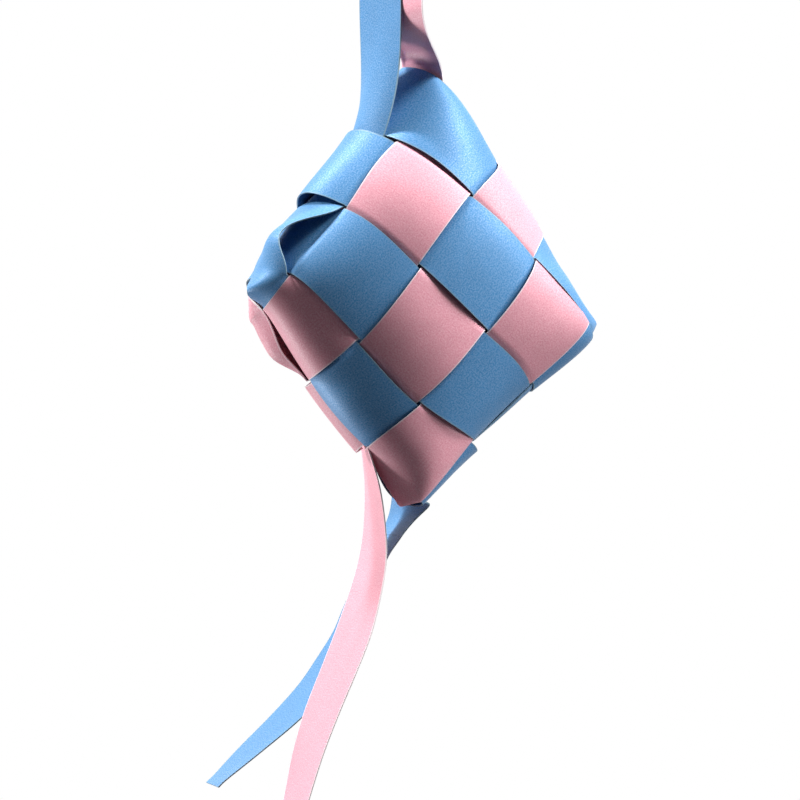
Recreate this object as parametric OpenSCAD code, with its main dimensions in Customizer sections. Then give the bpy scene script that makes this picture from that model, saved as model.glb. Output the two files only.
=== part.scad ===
// Woven ketupat ornament: a diamond pouch plaited from one blue and one pink paper ribbon.
// Both ribbons wind round the pouch as shallow helices, one strip further with every turn,
// and pass over and under each other square by square. Each ribbon has one end that hangs
// the pouch up and one that hangs down free.
// The front faces -Y, +Z is up, and the origin is the hanging hole at the top.

/* [Ribbon] */
// Spacing of neighbouring strips in the weave
pitch = 20.2; // [16:0.1:26]
// Open slit between neighbouring strips
slit = 0.8; // [0.6:0.1:1.6]
// Thickness of the paper
paper = 0.3; // [0.2:0.05:0.5]
// Height of a strip above the mid surface at the middle of a crossing
crossing_h = 1.0; // [0.8:0.1:1.6]
// Clear gap between two strips at the corners of a crossing
crossing_gap = 0.4; // [0.3:0.1:0.6]

/* [Pouch] */
// Half thickness of the pouch, from its rim plane to the crown
pouch_depth = 17; // [14:0.5:20]
// Middle of the pouch's rim to the right of the hanging hole
pouch_right = 6.3; // [0:0.1:12]
// Middle of the pouch's rim below the hanging hole
pouch_drop = 74.3; // [66:0.1:90]
// Tip of the pouch's lower edge towards the front, in degrees
pouch_tip = 16.7; // [5:0.1:25]
// Roll of the strips in the picture plane, in degrees
pouch_roll = 47.7; // [40:0.1:55]
// Lean of the crown along the rows, as a slope
lean_rows = 0.165; // [0:0.005:0.25]
// Lean of the crown along the columns, as a slope
lean_columns = 0.066; // [0:0.005:0.2]
// Drawn-out top and bottom corners, as a share of the half width
corner_draw = 0.03; // [0:0.005:0.06]

/* [Loose strips] */
// Height of the open roll at the left end of the top row
roll_height = 2.5; // [0:0.1:4]
// Height that the strip along the upper right edge arches off the first column
arch_height = 1.2; // [0:0.1:2.5]
// Pull of that arch's edge away from the column's first square
arch_pull = 1.2; // [0:0.1:2.5]
// Height that the strip along the upper left edge bulges off the second row
bow_height = 2.2; // [0:0.1:4]
// Pull of that bulge's inner edge away from the second row's first square
bow_pull = 5; // [0:0.1:7]

/* [Hanger] */
// Turn of the flat ribbon ends about the vertical, away from facing the front, in degrees
tab_turn = 63; // [50:1:75]
// Radius of the bore of the hanging eyelet
eyelet_r = 2.5; // [1.5:0.1:4]
// Wall of the eyelet's barrel
eyelet_wall = 0.4; // [0.3:0.05:0.6]
// Radius of the eyelet's two flanges
flange_r = 4.2; // [3.6:0.1:6]
// Thickness of a flange
flange_t = 0.4; // [0.3:0.05:0.6]
// Slip of each flat ribbon end sideways from the eyelet's middle, along its width
tab_slip = 4.6; // [0:0.1:5]
// Length of flat ribbon below the eyelet's middle
tab_below = 8; // [6:0.5:12]
// Length of flat ribbon above the eyelet's middle
tab_above = 7; // [6:0.5:12]

/* [Tails] */
// Turn of the tails about the vertical, away from facing the front, in degrees
tail_turn = 66; // [55:1:75]

/* [Hidden] */
// Strips that one ribbon moves along in one turn, over the turn's own length
LEAD = 1 / 8;
// Lattice point of the front weave at the middle of the pouch
MIDDLE = [1.25, 0.95];
// Second harmonics of the pouch's outline and crown
OUTLINE_SQUARE = -0.066;
CROWN_FLAT = -0.057;
// Half a strip's width, in lattice units
HALF = 0.5 - slit / pitch / 2;
// Height of a strip's middle at the edge of a crossing
EDGE_H = (paper + crossing_gap) / 2;
// Depth below the mid surface of a strip that runs inside the weave
INSIDE_H = -2.4 * crossing_h;
// Facets along one side of a square that bends round the rim, and of one that lies flat
RIM_STEPS = 8;
FLAT_STEPS = 3;
EDGE_STEPS = 5;
BLUE = "#5b9cc9";
PINK = "#f2a9bb";

// Pouch surface

// Place on the unrolled pouch, [t, s], of a lattice point
function unroll(x, y) =
    let (dx = x - MIDDLE.x, dy = y - MIDDLE.y)
    [dx + LEAD * dy, dy - LEAD * dx] / (1 + LEAD * LEAD);

// Half outline of the pouch: distance from the middle after going t strips round
function outline(t) =
    pitch * (sin(45 * t) + OUTLINE_SQUARE * sin(135 * t)) / (PI / 4 * (1 + 3 * OUTLINE_SQUARE));

// Crown of the pouch: 1 at the middle of the front, 0 at the rim, -1 behind
function crown(t) = (cos(45 * t) + CROWN_FLAT * cos(135 * t)) / (1 + CROWN_FLAT);

// Point of the pouch in its own frame: along the rows, along the columns, out of the front
function shell(ts) =
    let (
        u = outline(ts[0]),
        v = outline(ts[1]),
        g = crown(ts[0]),
        h = crown(ts[1]),
        w = pouch_depth * g * h / sqrt(g * g + h * h - g * g * h * h + 1e-6),
        draw = 1 + corner_draw * u * v / pitch / pitch
    )
    [u * draw + lean_rows * w, v * draw + lean_columns * w, w];

// A vector of the pouch's frame, turned the way the pouch hangs
function hung(p) =
    let (
        a = p.y * cos(pouch_tip) - p.z * sin(pouch_tip),
        b = p.y * sin(pouch_tip) + p.z * cos(pouch_tip)
    )
    [
        p.x * cos(pouch_roll) - a * sin(pouch_roll),
        -b,
        -p.x * sin(pouch_roll) - a * cos(pouch_roll)
    ];

function unit(v) = v / norm(v);

// Outward direction of the pouch at a lattice point
function outward(x, y) =
    let (
        d = 0.01,
        along = shell(unroll(x + d, y)) - shell(unroll(x - d, y)),
        across = shell(unroll(x, y + d)) - shell(unroll(x, y - d))
    )
    unit(cross(along, across));

// A lattice point raised by lift: [point, outward direction]
function woven(x, y, lift) =
    let (n = outward(x, y))
    [[pouch_right, 0, -pouch_drop] + hung(shell(unroll(x, y)) + lift * n), hung(n)];

// Weave

// Height of a strip over a crossing, at a place from -HALF to HALF along it
function wave(place) = EDGE_H + (crossing_h - EDGE_H) * cos(90 * place / HALF);

// Places across a strip, or along one square, in equal steps
function steps(count) = [for (k = [0:count]) -HALF + 2 * HALF * k / count];

// Facets along square i of a row, and along square j of a column
function row_steps(i) = i == -1 || i >= 2 && i <= 3 ? RIM_STEPS : FLAT_STEPS;
function column_steps(j) = j == -1 || j == 2 ? EDGE_STEPS : FLAT_STEPS;

// 1 where the strip lies over the other, -1 where it lies under
function row_side(i, j) = (i + j) % 2 == 0 ? -1 : 1;
function column_side(i, j) = -row_side(i, j);

// Stations [place, lift] of a row over squares from..to of the lattice
function row_stations(j, from, to) = [
    for (i = [from:to])
        for (p = steps(row_steps(i)))
            [i + 0.5 + p, row_side(i, j) * wave(p)]
];

// Stations [place, lift] of a column over squares from..to of the front
function column_stations(i, from, to) = [
    for (j = [from:to])
        for (p = steps(column_steps(j)))
            [j + 0.5 + p, column_side(i, j) * wave(p)]
];

// Grid of points of a row strip
function row_grid(j, stations) = [
    for (st = stations)
        [for (q = steps(column_steps(j))) loose(j == 0, j == -1, false, [st[0], j + 0.5 + q, st[1]])]
];

// Grid of points of a column strip
function column_grid(i, stations) = [
    for (st = stations)
        [for (q = steps(row_steps(i))) loose(false, false, i == -1, [i + 0.5 - q, st[0], st[1]])]
];

// Hump over 0 to 1 that starts and ends flat, and a smooth rise over 0 to 1
function hump(t) = t > 0 && t < 1 ? pow(sin(180 * t), 2) : 0;
function rise(t) = let (c = min(max(t, 0), 1)) c * c * (3 - 2 * c);

// A lattice point and lift, [x, y, lift], on a strip that may be rolled, arched or bowed
function loose(rolled, arched, bowed, p) =
    let (
        roll = rolled ? hump(p.x + 1) * (1 + rise(p.y)) / 2 : 0,
        arch = arched ? hump(p.x) * rise(p.y + 1) : 0,
        bow = bowed ? hump(p.y - 1) : 0,
        lift = roll_height * roll + arch_height * arch + bow_height * bow * hump((p.x + 1.6) / 2)
    )
    woven(
        p.x - bow_pull / pitch * bow * rise(p.x + 1),
        p.y - arch_pull / pitch * arch,
        p.z + lift
    );

// Middle of row j's crossing on the back, along a column
function back_place(j) = 4 - j + 2 * MIDDLE.y;

// Stations of column i over its three crossings on the back
function back_stations(i, from, to) = [
    for (j = [from:-1:to])
        for (p = steps(column_steps(j)))
            [back_place(j) + p, row_side(i, j) * wave(p)]
];

// Stations that lead evenly from one station to another, both left out
function lead_over(a, b, count) = [for (k = [1:count - 1]) a + (b - a) * k / count];

function last(list) = list[len(list) - 1];

// Quarter turn of a strip round a corner of the pouch: corner, first and second direction
function corner_grid(corner, first, second, count, across, lift0, lift1) = [
    for (k = [1:count])
        let (angle = 90 * k / count, lift = lift0 + (lift1 - lift0) * k / count)
        [
            for (q = across)
                let (p = corner + (0.5 - q) * (first * cos(angle) + second * sin(angle)))
                woven(p.x, p.y, lift)
        ]
];

// Free ribbon

// Grid of [point, outward direction] from a grid of points
function with_normals(rings) = [
    for (r = [0:len(rings) - 1]) [
        for (k = [0:len(rings[0]) - 1])
            let (
                along = rings[min(r + 1, len(rings) - 1)][k] - rings[max(r - 1, 0)][k],
                across = rings[r][min(k + 1, len(rings[0]) - 1)] - rings[r][max(k - 1, 0)]
            )
            [rings[r][k], unit(cross(across, along))]
    ]
];

function bezier(a, b, c, d, f) =
    pow(1 - f, 3) * a + 3 * pow(1 - f, 2) * f * b + 3 * (1 - f) * f * f * c + pow(f, 3) * d;

// Rings that carry ring a smoothly to ring b, leaving along out and arriving along into
function loft(a, b, out, into, count) = [
    for (r = [0:count])
        [for (k = [0:len(a) - 1]) bezier(a[k], a[k] + out, b[k] - into, b[k], r / count)]
];

// Straight ring of a free ribbon about its middle, turned about the vertical
function free_ring(middle, turn, count) = [
    for (k = [0:count])
        middle + (k / count * 2 - 1) * ribbon_half * [cos(turn), -sin(turn), 0]
];

// Ring of points on the woven surface
function woven_ring(places, lift) = [for (p = places) woven(p.x, p.y, lift)[0]];

// Half width of a free ribbon
ribbon_half = HALF * pitch;
// Open gap between the ends of two stretches of one ribbon, in lattice units
JOIN = 0.3 / pitch;
// Place along a row or column where one turn has gone round and the next one starts
TURN_END = 7.5 - HALF - JOIN;
// Steps across a free ribbon, along a quarter turn, and from the weave to a tail
FREE_STEPS = RIM_STEPS;
CORNER_STEPS = 5;
LEAD_STEPS = 8;

// Bottom corner of the pouch, where the tails hang from
bottom = woven(3, 3, 0)[0];
// Middles of the tails' rings from the bottom corner, and their turn past tail_turn
PINK_FALL = [[-9.3, 12.9, -4.8, 9], [-9.8, 9.9, -12.4, 5], [-11.4, 6.4, -19.8, 2], [-14.1, 3.9, -28.8, -1],
    [-17.6, 3.1, -37.8, -1], [-21.4, 2.9, -47.2, 0], [-24.6, 2.9, -56.8, 3], [-27.3, 2.9, -67.4, 7],
    [-30, 2.9, -76.8, 9]];
BLUE_FALL = [[-5.6, 15.9, -6.8, 9], [-9.1, 18.9, -12.3, 9], [-11.8, 22.9, -19.8, 6], [-13.6, 25.4, -24.8, 4],
    [-15.4, 26.9, -29.8, 2], [-19.1, 27.9, -35.8, 2], [-23.5, 27.9, -42.2, 2], [-30, 27.9, -49.3, 3],
    [-38.5, 27.9, -57.1, 8], [-45, 27.9, -63.1, 14], [-47, 27.9, -65, 14]];
// Gap between a tail and the ribbon above it
TAIL_GAP = [0, 0, 0.4];
// Way the ribbons leave the weave, and the way they hang down
PINK_OUT = [-4, 2, -3];
BLUE_OUT = [-4, 0, -4];
DOWN = [0, 0, -5];
// Place along the bottom fold where the inner run turns up, and where it meets the hanger
ROW_END = 1;
NECK = -0.3;

// Flat ends of the hangers: the blue ribbon's side, the ribbons' width, half their spacing
tab_face = [-sin(tab_turn), -cos(tab_turn), 0];
tab_width = [cos(tab_turn), -sin(tab_turn), 0];
tab_shift = paper / 2 + 0.05;

// Solid sheet of paper on a grid of [point, outward direction]
module sheet(grid) {
    rings = len(grid);
    wide = len(grid[0]);
    size = rings * wide;
    points = [
        for (side = [1, -1])
            for (ring = grid)
                for (p = ring) p[0] + side * paper / 2 * p[1]
    ];
    function at(r, k) = r * wide + k;
    faces = concat(
        [
            for (r = [0:rings - 2])
                for (k = [0:wide - 2])
                    for (f = [
                        [at(r, k), at(r + 1, k), at(r + 1, k + 1)],
                        [at(r, k), at(r + 1, k + 1), at(r, k + 1)]
                    ])
                        for (turned = [f, [for (v = [2:-1:0]) f[v] + size]]) turned
        ],
        [
            for (r = [0:rings - 2])
                for (f = [
                    [at(r, 0), at(r, 0) + size, at(r + 1, 0) + size],
                    [at(r, 0), at(r + 1, 0) + size, at(r + 1, 0)],
                    [at(r, wide - 1), at(r + 1, wide - 1) + size, at(r, wide - 1) + size],
                    [at(r, wide - 1), at(r + 1, wide - 1), at(r + 1, wide - 1) + size]
                ]) f
        ],
        [
            for (k = [0:wide - 2])
                for (f = [
                    [at(0, k), at(0, k + 1) + size, at(0, k) + size],
                    [at(0, k), at(0, k + 1), at(0, k + 1) + size],
                    [at(rings - 1, k), at(rings - 1, k) + size, at(rings - 1, k + 1) + size],
                    [at(rings - 1, k), at(rings - 1, k + 1) + size, at(rings - 1, k + 1)]
                ]) f
        ]
    );
    polyhedron(points, faces, convexity = 8);
}

// Rows

module front_row(j, first) {
    color(BLUE) sheet(row_grid(j, row_stations(j, first, 3)));
}

module back_row(j) {
    start = [3.5 + HALF + JOIN, row_side(3, j) * EDGE_H];
    finish = [TURN_END, row_side(-1, j - 1) * EDGE_H];
    crossings = [
        for (i = [4:6])
            for (p = steps(row_steps(i)))
                [i + 0.5 + p, (i == 6 && j == 2 ? 1 : row_side(i, j)) * wave(p)]
    ];
    color(BLUE) sheet(row_grid(j, concat([start], crossings, [finish])));
}

// Columns

module front_column(i, finish) {
    stations = column_stations(i, -1, 2);
    color(PINK) sheet(column_grid(i, concat(stations, lead_over(last(stations), finish, 4), [finish])));
}

// Last station of a column on the front, just short of its first crossing behind
function behind_rim(i) = [back_place(2) - HALF - JOIN, row_side(i, 2) * EDGE_H];

module back_column(i) {
    stations = back_stations(i, 2, 0);
    finish = [TURN_END, column_side(i + 1, -1) * EDGE_H];
    color(PINK) sheet(column_grid(i, concat(stations, lead_over(last(stations), finish, 5), [finish])));
}

// Sides

module blue_upper_left_side() {
    turn = corner_grid([0, 2], [-1, 0], [0, 1], CORNER_STEPS, [for (q = steps(RIM_STEPS)) -q],
        EDGE_H, -EDGE_H);
    color(BLUE) sheet(concat(column_grid(-1, column_stations(-1, 0, 1)), turn));
}

module blue_upper_right_side() {
    turn = corner_grid([3, 0], [0, -1], [1, 0], CORNER_STEPS, steps(EDGE_STEPS), EDGE_H, -EDGE_H);
    color(BLUE) sheet(concat(row_grid(-1, row_stations(-1, -1, 2)), turn));
}

// A woven grid led on from its last ring to a ring of a free ribbon
function led_on(grid, ring, out, into) =
    let (rings = loft([for (p = last(grid)) p[0]], ring, out, into, LEAD_STEPS), free = with_normals(rings))
    concat(grid, [for (r = [1:LEAD_STEPS]) free[r]]);

module blue_lower_right_side() {
    grid = column_grid(3, column_stations(3, 0, 2));
    ring = [for (p = fall(BLUE_FALL, 0)[0]) p + TAIL_GAP];
    color(BLUE) sheet(led_on(grid, ring, BLUE_OUT, DOWN));
}

module pink_front_right() {
    grid = column_grid(2, column_stations(2, -1, 2));
    ring = [for (p = fall(PINK_FALL, 180)[0]) p + TAIL_GAP];
    color(PINK) sheet(led_on(grid, ring, PINK_OUT, DOWN));
}

module pink_lower_left_side() {
    stations = [for (k = [0:4]) [JOIN + (ROW_END - JOIN) * k / 4, INSIDE_H]];
    color(PINK) sheet(row_grid(3, stations));
}

module pink_back_corner() {
    turn = corner_grid([0, 4], [0, -1], [-1, 0], CORNER_STEPS, [for (q = steps(FLAT_STEPS)) -q],
        INSIDE_H, -crossing_h);
    stations = concat([[4.2, -0.7 * crossing_h]], back_stations(-1, 1, 0));
    finish = [TURN_END, column_side(0, -1) * EDGE_H];
    grid = [
        for (st = concat(stations, lead_over(last(stations), finish, 5), [finish]))
            [for (q = steps(FLAT_STEPS)) woven(-0.5 - q, st[0], st[1])]
    ];
    color(PINK) sheet(concat(turn, grid));
}

// Hangers

function hanger_top(side) = [
    for (z = [-tab_below, tab_above])
        free_ring([0, 0, z] + side * (tab_shift * tab_face - tab_slip * tab_width), tab_turn, FREE_STEPS)
];

module hanger_sheet(start, side, out, into) {
    top = hanger_top(side);
    rise = loft(last(start), top[0], out, into, 12);
    early = [for (r = [0:1:len(start) - 2]) start[r]];
    difference() {
        sheet(with_normals(concat(early, rise, [top[1]])));
        eyelet_axis() cylinder(r = eyelet_r + eyelet_wall + 0.1, h = 10, center = true, $fn = 48);
    }
}

module eyelet_axis() {
    rotate([0, 0, -tab_turn]) rotate([90, 0, 0]) children();
}

// Ring of the strip left of the weave, at a place above it
function neck_ring(y, lift) = woven_ring([for (q = steps(FREE_STEPS)) [-0.5 + q, y]], lift);

module blue_hanger() {
    color(BLUE) hanger_sheet([neck_ring(0.5 - HALF - JOIN, -EDGE_H)], 1, [0, 0, 12], [0, 0, 14]);
}

module pink_hanger() {
    start = [for (k = [0:4]) neck_ring(NECK + (-1 - NECK) * k / 4, INSIDE_H)];
    color(PINK) hanger_sheet(start, -1, [2, 4, 9], [0, 0, 8]);
}

module pink_inner_run() {
    low = woven_ring([for (q = steps(FREE_STEPS)) [ROW_END + JOIN, 3.5 + q]], INSIDE_H);
    high = woven_ring([for (q = steps(FREE_STEPS)) [-0.5 - q, NECK + JOIN]], INSIDE_H);
    color(PINK) sheet(with_normals(loft(low, high, [10, -2, 10], [2, 1, 12], 10)));
}

module eyelet() {
    barrel = 2 * tab_shift + paper + 0.1;
    color("#c9a24a") eyelet_axis() rotate_extrude($fn = 64) polygon([
        [eyelet_r, -barrel / 2 - flange_t], [flange_r, -barrel / 2 - flange_t], [flange_r, -barrel / 2],
        [eyelet_r + eyelet_wall, -barrel / 2], [eyelet_r + eyelet_wall, barrel / 2],
        [flange_r, barrel / 2], [flange_r, barrel / 2 + flange_t], [eyelet_r, barrel / 2 + flange_t]
    ]);
}

// Tails

// Rings of a tail, from the pouch down
function fall(route, half_turn) = [
    for (r = route) free_ring(bottom + [r.x, r.y, r.z], tail_turn + r[3] + half_turn, FREE_STEPS)
];

module blue_tail() {
    color(BLUE) sheet(with_normals(fall(BLUE_FALL, 0)));
}

module pink_tail() {
    color(PINK) sheet(with_normals(fall(PINK_FALL, 180)));
}

eyelet();
blue_hanger();
pink_hanger();
blue_upper_left_side();
blue_upper_right_side();
blue_lower_right_side();
front_row(0, -1);  // blue_front_top
front_row(1, -1);  // blue_front_middle
front_row(2, 0);  // blue_front_bottom
back_row(0);  // blue_back_top
back_row(1);  // blue_back_middle
back_row(2);  // blue_back_bottom
front_column(0, behind_rim(0));  // pink_front_left
front_column(1, behind_rim(1));  // pink_front_middle
pink_front_right();
pink_back_corner();
back_column(0);  // pink_back_left
back_column(1);  // pink_back_middle
pink_lower_left_side();
pink_inner_run();
blue_tail();
pink_tail();
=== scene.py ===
"""Woven ketupat ornament: a diamond pouch plaited from a blue and a pink paper ribbon.

Every strip is a sheet worked out on one curved surface. The weave is a lattice on that
surface: x counts the columns along a row, y counts the rows along a column, and a strip is
raised or lowered from the surface at each crossing. Lengths inside are in millimetres.
"""

import math

import bpy
import numpy as np
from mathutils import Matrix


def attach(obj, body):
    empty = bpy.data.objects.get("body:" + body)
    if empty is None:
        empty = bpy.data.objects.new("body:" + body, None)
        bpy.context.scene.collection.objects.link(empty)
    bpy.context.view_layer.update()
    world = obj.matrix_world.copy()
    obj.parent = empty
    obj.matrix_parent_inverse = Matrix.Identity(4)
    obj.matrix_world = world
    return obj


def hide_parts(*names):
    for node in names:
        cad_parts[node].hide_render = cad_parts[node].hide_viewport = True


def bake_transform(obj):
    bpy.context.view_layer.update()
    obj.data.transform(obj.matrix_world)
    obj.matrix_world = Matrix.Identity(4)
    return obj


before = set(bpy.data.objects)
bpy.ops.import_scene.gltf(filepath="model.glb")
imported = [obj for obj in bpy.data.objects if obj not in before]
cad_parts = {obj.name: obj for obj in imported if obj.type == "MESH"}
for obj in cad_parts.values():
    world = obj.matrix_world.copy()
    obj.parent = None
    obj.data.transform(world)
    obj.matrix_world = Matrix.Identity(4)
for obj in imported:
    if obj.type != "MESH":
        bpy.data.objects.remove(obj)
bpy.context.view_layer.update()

bl_info = {
    "name": "Woven Ketupat Ornament",
    "version": (1, 0, 0),
    "blender": (4, 5, 0),
    "location": "View3D > Sidebar > Ketupat",
    "description": "Plaits a paper pouch from two ribbons, with its hangers and tails",
    "category": "Add Mesh",
}

MM = 0.001
UP = np.array([0, 0, 1])

# Sideways lead of a strip for each strip that it crosses
LEAD = 1 / 8
# Place of the front's middle on the lattice
MIDDLE = (1.25, 0.95)
# Third harmonics that square the outline and flatten the crown
OUTLINE_SQUARE = -0.066
CROWN_FLAT = -0.057
# Spread of two opposite corners, and lean of the crown along and across the rows
CORNER_SPREAD = 0.03
CROWN_LEAN = (0.165, 0.066)
# Reach of a corner's pull, and how softly the pulls meet the corners
PULL_REACH = 13.0
PULL_EASE = 0.08

# Steps across a strip, along one crossing, round a quarter turn and between two stops of a fall
ACROSS = 16
ALONG = 18
TURN_STEPS = 12
FALL_STEPS = 8
# Height of the upper strip at a crossing, over the lower one's depth
ARCH = 1.2
# Depth of the run inside the pouch, over the lower strip's depth at a crossing
INSIDE_DEPTH = 2.4

# Loose places of the strips: how far each stands off the plain weave
ROLL_HEIGHT = 0.6
ROLL_RISE = 1.2
WRAP_HEIGHTS = (0.2, -0.3, 4.0)
FOLD_SWELL = 2.2
BOW_HEIGHT = 3.2
LOOP_SWELL = 4.5
LOOP_HEIGHT = 0.45
LOOP_RISE = 0.3
EDGE_DROPS = (0.5, 0.4)
# Sideways moves of the strips at such places, in strips
BOW_ASIDE = 0.30
EDGE_IN = 0.07
EDGE_OUT = 0.02
LOOP_SLIDE = 0.08
# Part of a strip's height that it loses at the pouch's edges
EASED_PART = 0.65
# Start and reach of these places on the lattice
FOLD_EASE = (2.4, 0.6)
TOP_EASE = (0.4, 0.6)
EDGE_RISE = (-0.4, 0.9)
WRAP_SPAN = (2.85, 1.3)
FOLD_SPAN = (2.88, 0.8)
BOW_SPAN = (0.93, 1.15)
EDGE_SPAN = (1.9, 1.3)
LOOP_SPAN = (3.01, 0.5)
LOOP_FADE = (0.55, 0.42)
LOOP_TUCK = (3.3, 0.12)
# Places along the loop where it has left the fold and where it starts to turn inside
LOOP_APART = 0.7
LOOP_END = 0.975
# Lattice y where the run inside the pouch ends below the pink hanger
INNER_TOP = -0.3
# Middle of the crossing where a strip starts its next turn round the pouch
NEXT_TURN = 7.5

# Hangers' lower ends: lattice x of their middles, and the pink one's spread and rise out of the inside
BLUE_HANGER_AT = -0.64
PINK_HANGER_AT = -0.44
PINK_HANGER_SPREAD = 1.06
PINK_HANGER_RISE = 1.5

# Distance from an edge that gets no painted edge highlight, and angle between faces that is a sharp edge
FAR = 9.0
SHARP = 0.9

# Hangers' flat ends: reach below and above the eyelet, middle beside it, gap at the middle, hole's ease
TAB_LOW = 8.0
TAB_HIGH = 7.0
TAB_ASIDE = 4.6
TAB_GAP = 0.05
HOLE_EASE = 0.5
# Eyelet: half its length, wall, reach and rise of the lip, and radius at which its grain is laid out
EYELET_HALF = 0.45
EYELET_WALL = 0.4
EYELET_LIP = 1.2
EYELET_RISE = 0.4
EYELET_ROUND = 3.0

# Corners of the weave: lattice x and y, then X and Z where the hanging pouch has them
CORNERS = np.array([
    (-1, -1, 1.6, -25.0), (0, -1, 12.6, -27.2), (1, -1, 23.6, -45.4), (2, -1, 34.6, -63.1),
    (-1, 0, -9.9, -42.6), (0, 0, 0.9, -41.7), (1, 0, 18.3, -54.1), (2, 0, 32.8, -68.8),
    (3, 0, 45.6, -82.3),
    (-1, 1, -21.4, -58.2), (0, 1, -10.3, -57.1), (1, 1, 6.4, -70.6), (2, 1, 21.6, -85.3),
    (3, 1, 31.9, -96.8),
    (-1, 2, -32.3, -74.1), (0, 2, -23.2, -72.2), (1, 2, -7.1, -87.6), (2, 2, 6.2, -101.8),
    (3, 2, 18.1, -110.3),
    (0, 3, -29.4, -79.3), (1, 3, -18.3, -96.8), (2, 3, -6.2, -111.2), (3, 3, 6.4, -124.5),
    (-0.5, -1, 5.5, -25.0), (0.5, -1, 17.9, -36.2), (1.5, -1, 29.4, -54.1), (3, -1, 44.6, -80.0),
    (2.5, -1, 38.8, -71.4), (2.5, -0.5, 38.6, -73.0),
    (3, -0.5, 45.2, -82.3), (3.5, -0.5, 46.0, -84.8), (3.2, 0.2, 46.0, -87.0), (3.3, 0.8, 34.4, -96.8),
    (-1, 3, -32.6, -75.7), (-0.7, 2.7, -32.3, -77.0), (1.5, 3, -12.2, -103.9), (3.2, 1.5, 25.6, -104.0),
    (3, 2.5, 12.3, -117.4),
])

# Bottom corner of the pouch, and the tails' fall from it: X, Y, Z and turn past the common turn
BOTTOM = np.array([5.558, -10.859, -125.171])
PINK_FALL = np.array([
    (-11.8, 7.8, 14.6, 20), (-9.9, 8.0, 5.0, 14), (-9.3, 8.2, -4.8, 9), (-9.8, 7.4, -12.4, 5),
    (-11.4, 5.6, -19.8, 2), (-14.1, 3.9, -28.8, -1),
    (-17.6, 3.1, -37.8, -1), (-21.4, 2.9, -47.2, 0), (-24.6, 2.9, -56.8, 3), (-27.3, 2.9, -67.4, 7),
    (-30, 2.9, -76.8, 9),
])
BLUE_FALL = np.array([
    (-5.6, 15.9, -6.8, 9), (-9.1, 18.9, -12.3, 9), (-11.8, 22.9, -19.8, 6), (-13.6, 25.4, -24.8, 4),
    (-15.4, 26.9, -29.8, 2), (-19.1, 27.9, -35.8, 2), (-23.5, 27.9, -42.2, 2), (-30, 27.9, -49.3, 3),
    (-38.5, 27.9, -57.1, 8), (-45, 27.9, -63.1, 14), (-47, 27.9, -65, 14),
])
# Gap between the end of a side strip and the tail that goes on from it
TAIL_GAP = 0.02
# Hidden top of the pink tail in its slit, and its width over the ribbon's
TAIL_TOP = np.array([1.5, -5.5, -105.2])
TAIL_TOP_WIDTH = 0.62

# View of the photo, in metres: width at the ornament, distance, and the middle's X and Z
VIEW_WIDTH = 0.18344
VIEW_AWAY = 1.5
VIEW_MIDDLE = (0.00206, -0.1009)

# Floor, in metres: half its side, and its level
FLOOR_REACH = 3.0
FLOOR_LEVEL = -2.2
# Lights, in metres: side of the square and place, each turned towards one middle
LIGHTS = {
    "key": (0.08, (-0.40, 0.10, 0.82)),
    "side": (0.40, (0.64, -0.08, 0.66)),
    "low_side": (0.40, (0.90, -0.06, 0.0)),
    "left": (0.15, (-0.80, 0.16, 0.55)),
    "low_left": (0.30, (-0.85, 0.38, -0.55)),
}
LIT_MIDDLE = (0.0, 0.0, -0.09)


class RibbonSizes(bpy.types.PropertyGroup):
    """Sizes of the ribbons and of the pouch that they make."""

    pitch: bpy.props.FloatProperty(
        name="Strip spacing", description="Spacing of neighbouring strips in the weave",
        default=0.0202, unit="LENGTH")
    slit: bpy.props.FloatProperty(
        name="Slit", description="Open slit between neighbouring strips", default=0.0008, unit="LENGTH")
    paper: bpy.props.FloatProperty(
        name="Paper", description="Thickness of the paper", default=0.0003, unit="LENGTH")
    crossing: bpy.props.FloatProperty(
        name="Crossing height", description="Height of a strip at the middle of a crossing",
        default=0.001, unit="LENGTH")
    gap: bpy.props.FloatProperty(
        name="Crossing gap", description="Clear gap between two strips at a crossing's corners",
        default=0.0004, unit="LENGTH")
    depth: bpy.props.FloatProperty(
        name="Pouch depth", description="From the rim plane to the crown", default=0.017, unit="LENGTH")
    right: bpy.props.FloatProperty(
        name="Pouch right", description="Middle of the rim to the right of the eyelet",
        default=0.0063, unit="LENGTH")
    drop: bpy.props.FloatProperty(
        name="Pouch drop", description="Middle of the rim below the eyelet", default=0.0743, unit="LENGTH")
    tip: bpy.props.FloatProperty(
        name="Tip", description="Tip of the lower edge towards the front",
        default=math.radians(16.7), subtype="ANGLE")
    roll: bpy.props.FloatProperty(
        name="Roll", description="Roll of the strips in the picture plane",
        default=math.radians(47.7), subtype="ANGLE")
    tab_turn: bpy.props.FloatProperty(
        name="Hanger turn", description="Turn of the hangers about the vertical",
        default=math.radians(60.5), subtype="ANGLE")
    tail_turn: bpy.props.FloatProperty(
        name="Tail turn", description="Turn of the tails about the vertical",
        default=math.radians(66), subtype="ANGLE")
    bore: bpy.props.FloatProperty(
        name="Eyelet bore", description="Radius of the hanging eyelet's bore",
        default=0.0025, unit="LENGTH")


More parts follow.
